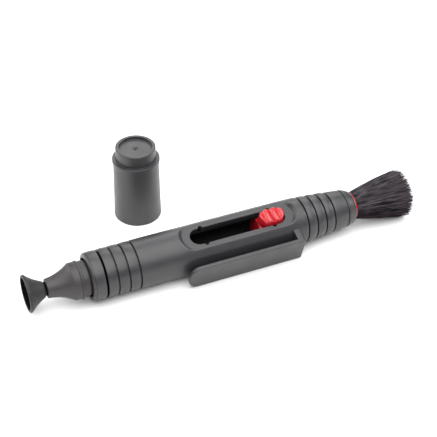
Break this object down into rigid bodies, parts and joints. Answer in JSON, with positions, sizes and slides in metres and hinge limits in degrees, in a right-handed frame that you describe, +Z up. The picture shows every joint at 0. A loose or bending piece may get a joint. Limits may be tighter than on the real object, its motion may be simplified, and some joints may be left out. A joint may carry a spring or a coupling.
{
  "type": "lens cleaning pen",
  "caption": "Lens cleaning pen with a flared cleaning tip, a retractable brush on a thumb slide, a pocket clip and a loose push-on cap standing beside it.",
  "frame": {"origin": "on the pen's axis, in the middle of the plain grip of the barrel between the ring grooves and the slider panel", "axes": "+X along the pen from the cleaning tip towards the brush, +Z up as the pen lies on a table, -Y the side that the pocket clip is on"},
  "size_m": [0.1345, 0.0546, 0.0276],
  "materials": {
    "grey_plastic": "satin moulded plastic, fine spark-eroded grain",
    "nose_plastic": "softer satin moulded plastic",
    "inner_plastic": "black moulded plastic, unpolished",
    "red_plastic": "bright red, semi-gloss",
    "tip_rubber": "matt soft elastomer",
    "carbon_pad": "black carbon-charged chamois",
    "bristle_hair": "soft dark goat-hair bristle, slight sheen",
    "knot_resin": "cured adhesive",
    "spring_steel": "bright spring strip",
    "cap_felt": "carbon-charged felt"
  },
  "bodies": {
    "pen_body": {"barrel_shell": "grey_plastic", "guide_sleeve": "inner_plastic", "mouth_ring": "grey_plastic", "tip_collar": "grey_plastic", "barrel_plug": "inner_plastic", "nose_cone": "nose_plastic", "cap_snap_ring": "nose_plastic", "tip_stem": "inner_plastic", "cleaning_tip": "tip_rubber", "tip_pad": "carbon_pad", "clip_root": "grey_plastic"},
    "clip": {"clip_arm": "grey_plastic"},
    "brush_slider": {"brush_carriage": "red_plastic", "thumb_button": "red_plastic", "brush_holder": "red_plastic", "bristle_knot": "knot_resin", "bristles": "bristle_hair", "detent_spring": "spring_steel"},
    "cap": {"cap_shell": "grey_plastic", "cap_top": "grey_plastic", "cap_liner": "inner_plastic", "cap_pad": "cap_felt"}
  },
  "joints": [
    {"name": "brush_slide", "type": "slide", "parent": "pen_body", "child": "brush_slider", "axis": [1, 0, 0], "range_m": [-0.0238, 0], "deforming": ["bristles"]},
    {"name": "clip_flex", "type": "hinge", "parent": "pen_body", "child": "clip", "pos_m": [0.046, -0.01074, -0.00318], "axis": [0, -0.284, 0.9588], "range_deg": [0, 4], "stiffness_Nm_per_rad": 0.6},
    {"name": "cap_lift", "type": "slide", "parent": "pen_body", "child": "cap", "axis": [0, 0, 1], "range_m": [0, 0.05]}
  ]
}
